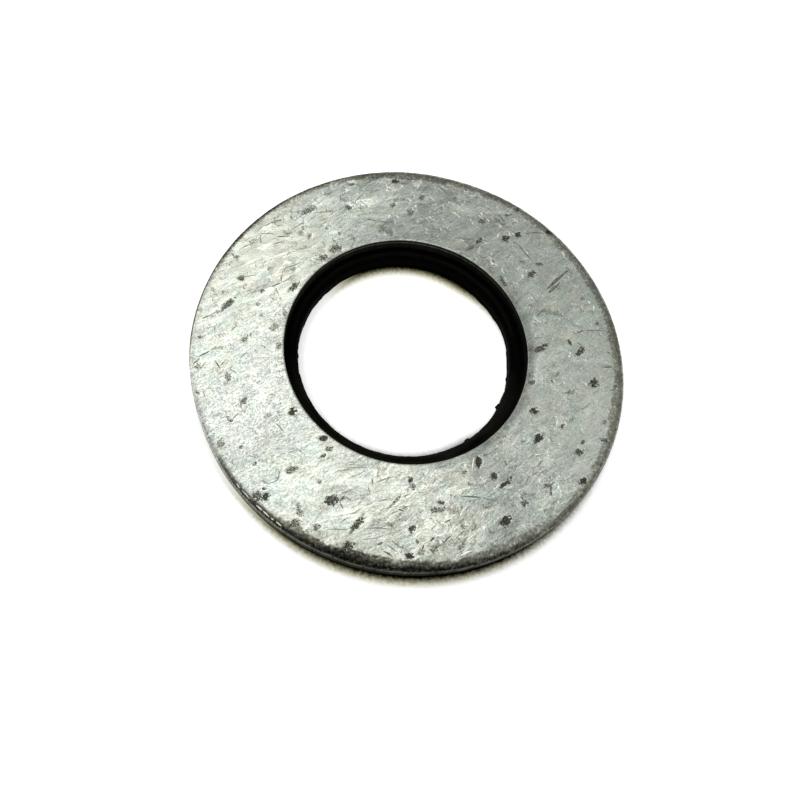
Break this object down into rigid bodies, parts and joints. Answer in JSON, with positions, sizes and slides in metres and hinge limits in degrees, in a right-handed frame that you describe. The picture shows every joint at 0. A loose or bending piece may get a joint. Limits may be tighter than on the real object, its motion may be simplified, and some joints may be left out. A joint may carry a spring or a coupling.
{
  "type": "bonded sealing washer",
  "caption": "Flat galvanised steel washer with a black rubber sealing ring bonded to its underside, sized for a half inch bolt.",
  "frame": {"origin": "on the bore axis, in the plane of the rubber sealing face that the washer lies on", "axes": "+Z along the bore axis, from the rubber sealing face to the steel face that the bolt head bears on"},
  "size_m": [0.0254, 0.0254, 0.002],
  "materials": {
    "galvanised_steel": "galvanised zinc, dull and pale, with fine streaks, small pits and a darker blanked rim",
    "seal_rubber": "matt black vulcanised rubber with a slightly torn bore edge"
  },
  "bodies": {
    "root": {"steel_washer": "galvanised_steel", "rubber_seal": "seal_rubber"}
  },
  "joints": []
}
